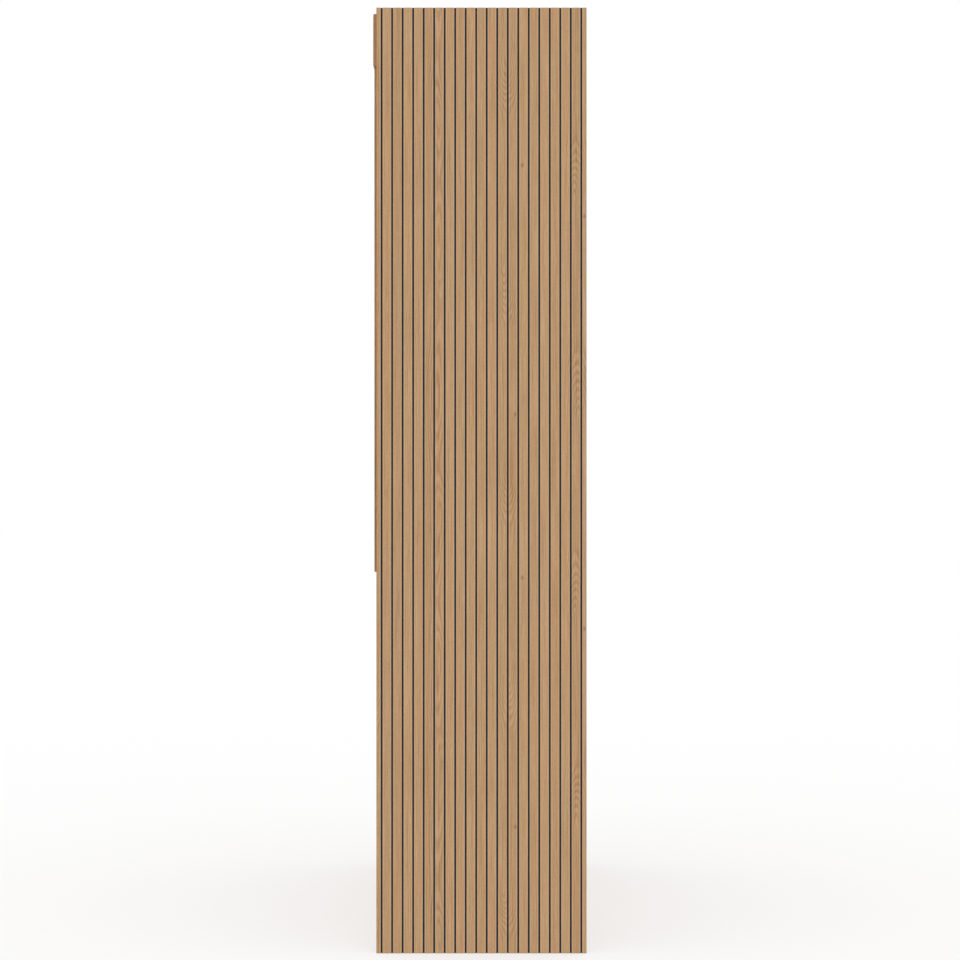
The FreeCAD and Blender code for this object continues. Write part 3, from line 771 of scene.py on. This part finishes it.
# %% Cut and join pieces
def carve(piece, tool):
    """Cuts a tool's shape out of a piece, then throws the tool away."""
    bpy.ops.object.select_all(action="DESELECT")
    bpy.context.view_layer.objects.active = piece
    piece.select_set(True)
    cut = piece.modifiers.new("cut", "BOOLEAN")
    cut.operation, cut.solver, cut.object = "DIFFERENCE", "EXACT", tool
    bpy.ops.object.modifier_apply(modifier="cut")
    bpy.data.objects.remove(tool)
    return piece


def join(name, pieces):
    """Makes one object of several."""
    bpy.ops.object.select_all(action="DESELECT")
    for piece in pieces:
        piece.select_set(True)
    bpy.context.view_layer.objects.active = pieces[0]
    if len(pieces) > 1:
        bpy.ops.object.join()
    joined = bpy.context.object
    joined.name = joined.data.name = name
    return joined


# %% Copy pieces and fit them to their bodies
def copies(name, model, places, turn=(0, 0, 0)):
    """Copies a small model to each place, turned by degrees about X, Y and Z, as one object."""
    made = []
    for place in places:
        bpy.ops.object.select_all(action="DESELECT")
        copy = model.copy()
        copy.data = model.data.copy()
        bpy.context.scene.collection.objects.link(copy)
        copy.hide_render = False
        copy.select_set(True)
        bpy.context.view_layer.objects.active = copy
        copy.rotation_euler = [math.radians(angle) for angle in turn]
        copy.location = place
        bpy.ops.object.transform_apply(location=True, rotation=True, scale=True)
        made.append(copy)
    return join(name, made)


def fit(piece, finish, body, slot, *replaced):
    """Gives a piece its finish and its body, and hides the nodes it stands for. The slot is not
    used.
    """
    piece.data.materials.clear()
    piece.data.materials.append(finish)
    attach(piece, body)
    if replaced:
        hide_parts(*replaced)
    print(piece.name, len(piece.data.polygons), "faces")
    return piece


# %% [markdown]
# ## Spare peg holes
# A shelf can be moved, so the side panels have spare holes above and below each peg, 32 mm
# apart as cabinet makers space them. A copy of each panel is bored with small round tools; the
# holes stop inside the board. The copy then stands for the plain panel.

# %% Bore the side panels
PEG_HOLE_RADIUS = 0.0025
PEG_HOLE_DEPTH = 0.010
PEG_HOLE_STEP = 0.032
PEG_STEPS = (-3, -2, -1, 1, 2, 3)     # the peg itself sits at 0
PEG_COLUMNS = (-0.1135, 0.1475)
PEG_DROP = 0.001                      # from a shelf's underside to its peg's middle
PEG_LEVELS = [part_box(name + "_shelf")[0].z - PEG_DROP for name in ("lower", "upper")]
INNER_HALF = 0.432                    # from the cupboard's middle to a panel's inner face
SAME_PLANE = math.radians(0.5)        # faces that turn less than this are one face


def bored_panel(side_name, side):
    """A copy of a side panel with spare holes round each peg."""
    node = frame["nodes"][side_name + "_side_panel"]
    bpy.ops.object.select_all(action="DESELECT")
    panel = node.copy()
    panel.data = node.data.copy()
    panel.parent = None
    bpy.context.scene.collection.objects.link(panel)
    panel.name = panel.data.name = side_name + "_side_panel_bored"
    panel.select_set(True)
    bpy.context.view_layer.objects.active = panel
    open_for_edit(panel)
    bpy.ops.mesh.select_all(action="SELECT")
    bpy.ops.mesh.remove_doubles(threshold=TOUCHING)
    bpy.ops.mesh.dissolve_limited(angle_limit=SAME_PLANE)
    bpy.ops.object.mode_set(mode="OBJECT")
    drills = []
    for y in PEG_COLUMNS:
        for level in PEG_LEVELS:
            for step in PEG_STEPS:
                bpy.ops.object.select_all(action="DESELECT")
                bpy.ops.mesh.primitive_cylinder_add(
                    vertices=20, radius=PEG_HOLE_RADIUS, depth=2 * PEG_HOLE_DEPTH,
                    location=(side * INNER_HALF, y, level + step * PEG_HOLE_STEP),
                    rotation=(0, math.radians(90), 0))
                drills.append(bpy.context.object)
    drill = join("drill", drills)
    carve(panel, drill)
    return panel


for side_name, side in (("left", -1), ("right", 1)):
    panel = bored_panel(side_name, side)
    fit(panel, side_oak, "carcass", "fluted_oak", side_name + "_side_panel")

# %% [markdown]
# ## Door bumpers
# Each door closes against soft pads on the divider's front edge. A pad is moulded with round
# corners and a slightly crowned face, so that it touches the door with its middle first.

# %% Mould the bumpers
BUMPER_CORNER = 0.0028
BUMPER_EDGE = 0.0008
BUMPER_RIM = 0.0022
BUMPER_CROWN = 0.0004
BUMPER_X = (-0.150, -0.0275, 0.0275, 0.150)
bumper_low, bumper_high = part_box("door_bumpers")


def bumper(x):
    """One pad, as wide as it is high, with a crowned face."""
    half = (bumper_high.z - bumper_low.z) / 2
    low = (x - half, bumper_low.y + BUMPER_CROWN, bumper_low.z)
    high = (x + half, bumper_high.y, bumper_high.z)
    pad = start_block("bumper", low, high)
    pick(pad, "edges", lambda middle, run: abs(run.y) > ALONG)
    bevel(BUMPER_CORNER, 5)
    front = low[1]
    pick(pad, "edges", lambda middle, run: abs(middle.y - front) < TOUCHING)
    bevel(BUMPER_EDGE, 3)
    pick(pad, "faces", lambda middle, run: run.y < -FACING)
    bpy.ops.mesh.inset(thickness=BUMPER_RIM)
    bpy.ops.transform.translate(value=(0, -BUMPER_CROWN, 0))
    return close_piece(pad, 60)


bumpers = join("moulded_bumpers", [bumper(x) for x in BUMPER_X])
fit(bumpers, rubber, "carcass", "grey_rubber", "door_bumpers")

# %% [markdown]
# ## Magnetic catches
# A catch is a black plastic case let into the board behind the header. In its mouth two steel
# pole plates stand either side of a dark magnet, and meet a steel strike plate on the door. The
# plates reach the strike, and the plastic stays a hair behind them.

# %% Mould the cases
CATCH_X = 0.0275
CASE_BEHIND = 0.0008      # the case stands this far behind the plates
CASE_CORNER, CASE_EDGE = 0.0018, 0.0005
MOUTH_RIM, MOUTH_STEP, MOUTH_DEPTH = 0.0018, 0.0002, 0.0006
catch_low, catch_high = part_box("magnetic_catches")
CATCH_HALF = catch_high.x - CATCH_X


def catch_case(x):
    """The case with round corners and a sunk mouth."""
    front = catch_low.y + CASE_BEHIND
    case = start_block("case", (x - CATCH_HALF, front, catch_low.z),
                       (x + CATCH_HALF, catch_high.y, catch_high.z))
    pick(case, "edges", lambda middle, run: abs(run.y) > ALONG)
    bevel(CASE_CORNER, 4)
    pick(case, "edges", lambda middle, run: abs(middle.y - front) < TOUCHING)
    bevel(CASE_EDGE, 2)
    pick(case, "faces", lambda middle, run: run.y < -FACING)
    bpy.ops.mesh.inset(thickness=MOUTH_RIM)
    bpy.ops.mesh.inset(thickness=MOUTH_STEP)
    bpy.ops.transform.translate(value=(0, MOUTH_DEPTH, 0))
    return close_piece(case)


print("a catch is", round(2 * CATCH_HALF, 4), "m wide")

# %% Set a magnet and two pole plates in each
MAGNET_HALF = 0.0165
MAGNET_BEHIND = 0.0003
MAGNET_ROOM, MAGNET_EDGE = 0.0001, 0.0002
POLE_HALF = 0.0175
POLE_HEIGHT = 0.0026      # from the catch's middle
POLE_GAUGE = 0.0012
POLE_DEPTH = 0.004
POLE_EDGE = 0.00025
CATCH_LEVEL = (catch_low.z + catch_high.z) / 2


def eased_block(name, low, high, width, segments=2):
    """A block with all its edges rounded."""
    block = start_block(name, low, high)
    pick(block, "edges", lambda middle, run: True)
    bevel(width, segments)
    return close_piece(block)


def magnet(x):
    """The magnet, a hair thinner than the room between the pole plates."""
    half = POLE_HEIGHT - POLE_GAUGE / 2 - MAGNET_ROOM
    low = (x - MAGNET_HALF, catch_low.y + MAGNET_BEHIND, CATCH_LEVEL - half)
    high = (x + MAGNET_HALF, catch_low.y + POLE_DEPTH, CATCH_LEVEL + half)
    return eased_block("magnet", low, high, MAGNET_EDGE)


def pole_plate(x, level):
    """One steel plate, flush with the front of the catch."""
    low = (x - POLE_HALF, catch_low.y, level - POLE_GAUGE / 2)
    high = (x + POLE_HALF, catch_low.y + POLE_DEPTH, level + POLE_GAUGE / 2)
    return eased_block("pole", low, high, POLE_EDGE)


cases = join("catch_cases", [make(x) for x in (-CATCH_X, CATCH_X)
                             for make in (catch_case, magnet)])
fit(cases, black_plastic, "carcass", "black_plastic", "magnetic_catches")
poles = join("catch_pole_plates", [pole_plate(x, CATCH_LEVEL + up) for x in (-CATCH_X, CATCH_X)
                                   for up in (-POLE_HEIGHT, POLE_HEIGHT)])
fit(poles, zinc, "carcass", "zinc_steel")

# %% [markdown]
# ## Screws
# One screw head is modelled and then copied. It starts as a short disc, its upper rim is
# rounded into a pan, and a crossed driver tool is sunk into its top. A smaller and flatter
# head, made in the same way, holds the strike plates.

# %% Turn one screw head
SCREW_RADIUS, SCREW_HEIGHT, SCREW_RIM = 0.0030, 0.0015, 0.0009
SLOT_REACH, SLOT_HALF, SLOT_FLOOR = 0.56, 0.13, 0.35     # shares of the radius and height


def cross_slot(head, reach, width, low, high):
    """Sinks a crossed slot into the top of a head that stands on the origin."""
    for along, across in ((reach, width), (width, reach)):
        blade = start_block("blade", (-along, -across, low), (along, across, high))
        bpy.ops.object.mode_set(mode="OBJECT")
        carve(head, blade)


def screw_head(radius, height, rim):
    """A round head standing on the origin, its crossed slot upwards."""
    head = start_disc("screw", (0, 0, height / 2), radius, height)
    pick(head, "edges",
         lambda middle, run: abs(run.z) < ACROSS and abs(middle.z - height) < TOUCHING)
    bevel(rim, 4)
    close_piece(head, 50)
    cross_slot(head, radius * SLOT_REACH, radius * SLOT_HALF, height * SLOT_FLOOR, height * 2)
    return head


pan_head = screw_head(SCREW_RADIUS, SCREW_HEIGHT, SCREW_RIM)
pan_head.hide_render = True
print(pan_head.name, len(pan_head.data.polygons), "faces")

# %% [markdown]
# ## Where the screws go
# Screws hold the two back panels, the wall brackets under the top, and the brackets that carry
# the doors. Others hold each drawer to its slides. Each set is one object of many heads, since
# they are all alike and move together. A turn brings the upright head round to its face.

# %% Screws in the back and the wall brackets
FACING_BACK = (-90, 0, 0)
FACING_DOWN = (180, 0, 0)
BACK_SCREW_X = (-0.37, -0.185, 0.0, 0.185, 0.37)
BACK_SCREW_LEVELS = (0.069, 0.7490, 0.7592)
WALL_SCREW_X = (-0.30, 0.30)
WALL_SCREW_Y = (0.158, 0.174)
WALL_BRACKET_GAUGE = 0.002
back_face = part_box("upper_back_panel")[1].y
back_screws = copies("back_panel_screws", pan_head,
                     [(x, back_face, level) for level in BACK_SCREW_LEVELS
                      for x in BACK_SCREW_X], FACING_BACK)
fit(back_screws, zinc, "carcass", "zinc_steel")

wall_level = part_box("wall_brackets")[1].z - WALL_BRACKET_GAUGE
wall_screws = copies("wall_bracket_screws", pan_head,
                     [(x, y, wall_level) for x in WALL_SCREW_X for y in WALL_SCREW_Y],
                     FACING_DOWN)
fit(wall_screws, zinc, "carcass", "zinc_steel")

# %% Screws in the pivot brackets
PIVOT_WEB = 0.429
PIVOT_SCREW_Y = (-0.184, -0.170)
PIVOT_SCREW_LEVEL = 0.7132
pivot_screws = join("pivot_bracket_screws", [
    copies("pair", pan_head, [(side * PIVOT_WEB, y, PIVOT_SCREW_LEVEL) for y in PIVOT_SCREW_Y],
           (0, -90 * side, 0)) for side in (-1, 1)])
fit(pivot_screws, zinc, "carcass", "zinc_steel")

# %% Screws that hold the slides to the drawers
SLIDE_WEB = 0.4205
SLIDE_SCREW_Y = (-0.150, -0.022, 0.140)
for name in DRAWERS:
    low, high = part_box(name + "_drawer_slide_inners")
    level = (low.z + high.z) / 2
    sides = [copies("slide_screws", pan_head,
                    [(side * SLIDE_WEB, y, level) for y in SLIDE_SCREW_Y],
                    (0, 90 * side, 0)) for side in (-1, 1)]
    slide_screws = join(name + "_drawer_slide_screws", sides)
    fit(slide_screws, zinc, name + "_drawer", "zinc_steel")

# %% [markdown]
# ## Strike plates
# Each door carries a small steel plate opposite its catch. Its corners are rounded, two holes
# are bored, and a screw head sits a little below the surface in each, so that nothing stands
# between the plate and the magnet.

# %% Make the strike plates
STRIKE_CORNER, STRIKE_EDGE = 0.003, 0.0002
STRIKE_SCREW_X = 0.012
STRIKE_HOLE = 0.0026
DRILL_LENGTH = 0.010
FLUSH_RADIUS, FLUSH_HEIGHT, FLUSH_RIM = 0.0024, 0.0007, 0.0003
flush_head = screw_head(FLUSH_RADIUS, FLUSH_HEIGHT, FLUSH_RIM)
flush_head.hide_render = True


def strike_plate(low, high, holes):
    """A plate with round corners, bored through at each place in holes."""
    plate = start_block("plate", low, high)
    pick(plate, "edges", lambda middle, run: abs(run.y) > ALONG)
    bevel(STRIKE_CORNER, 5)
    pick(plate, "edges", lambda middle, run: abs(middle.y - high.y) < TOUCHING)
    bevel(STRIKE_EDGE, 2)
    close_piece(plate)
    for hole in holes:
        bpy.ops.object.select_all(action="DESELECT")
        bpy.ops.mesh.primitive_cylinder_add(vertices=24, radius=STRIKE_HOLE,
                                            depth=DRILL_LENGTH, location=hole,
                                            rotation=(math.radians(90), 0, 0))
        carve(plate, bpy.context.object)
    return plate


for side_name in ("left", "right"):
    low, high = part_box(side_name + "_door_strike_plate")
    middle = (low + high) / 2
    holes = [(middle.x + off, low.y, middle.z) for off in (-STRIKE_SCREW_X, STRIKE_SCREW_X)]
    plate = strike_plate(low, high, holes)
    heads = copies("heads", flush_head, holes, FACING_BACK)
    strike = join(side_name + "_door_strike", [plate, heads])
    fit(strike, nickel, side_name + "_door", "bright_steel", side_name + "_door_strike_plate")

# %% [markdown]
# ## Cam fasteners
# The lying boards are drawn against the side panels by cams, set in round pockets in their
# undersides. Only the cam's flat face shows: a disc with a raised rim and a crossed slot.

# %% Set the cams
CAM_RADIUS, CAM_PROUD, CAM_EDGE = 0.0075, 0.0007, 0.0003
CAM_RIM, CAM_STEP, CAM_SUNK = 0.0011, 0.0002, 0.0003
CAM_SLOT_REACH, CAM_SLOT_HALF = 0.0030, 0.0007
CAM_SLOT_FLOOR, CAM_SLOT_TOP = 0.0001, 0.010
CAM_X = 0.398
CAM_Y = (-0.105, 0.110)
cam = start_disc("cam", (0, 0, CAM_PROUD / 2), CAM_RADIUS, CAM_PROUD, 32)
pick(cam, "edges",
     lambda middle, run: abs(run.z) < ACROSS and abs(middle.z - CAM_PROUD) < TOUCHING)
bevel(CAM_EDGE, 2)
pick(cam, "faces", lambda middle, run: run.z > FACING)
bpy.ops.mesh.inset(thickness=CAM_RIM)
bpy.ops.mesh.inset(thickness=CAM_STEP)
bpy.ops.transform.translate(value=(0, 0, -CAM_SUNK))
close_piece(cam, 40)
cross_slot(cam, CAM_SLOT_REACH, CAM_SLOT_HALF, CAM_SLOT_FLOOR, CAM_SLOT_TOP)
cam.hide_render = True
undersides = [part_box(name)[0].z for name in ("top_panel", "divider_panel", "bottom_panel")]
cams = copies("cam_fasteners", cam, [(side * CAM_X, y, level) for level in undersides
                                     for side in (-1, 1) for y in CAM_Y], FACING_DOWN)
fit(cams, zinc, "carcass", "zinc_steel")
for model in (pan_head, flush_head, cam):     # only their copies are part of the cupboard
    bpy.data.objects.remove(model)
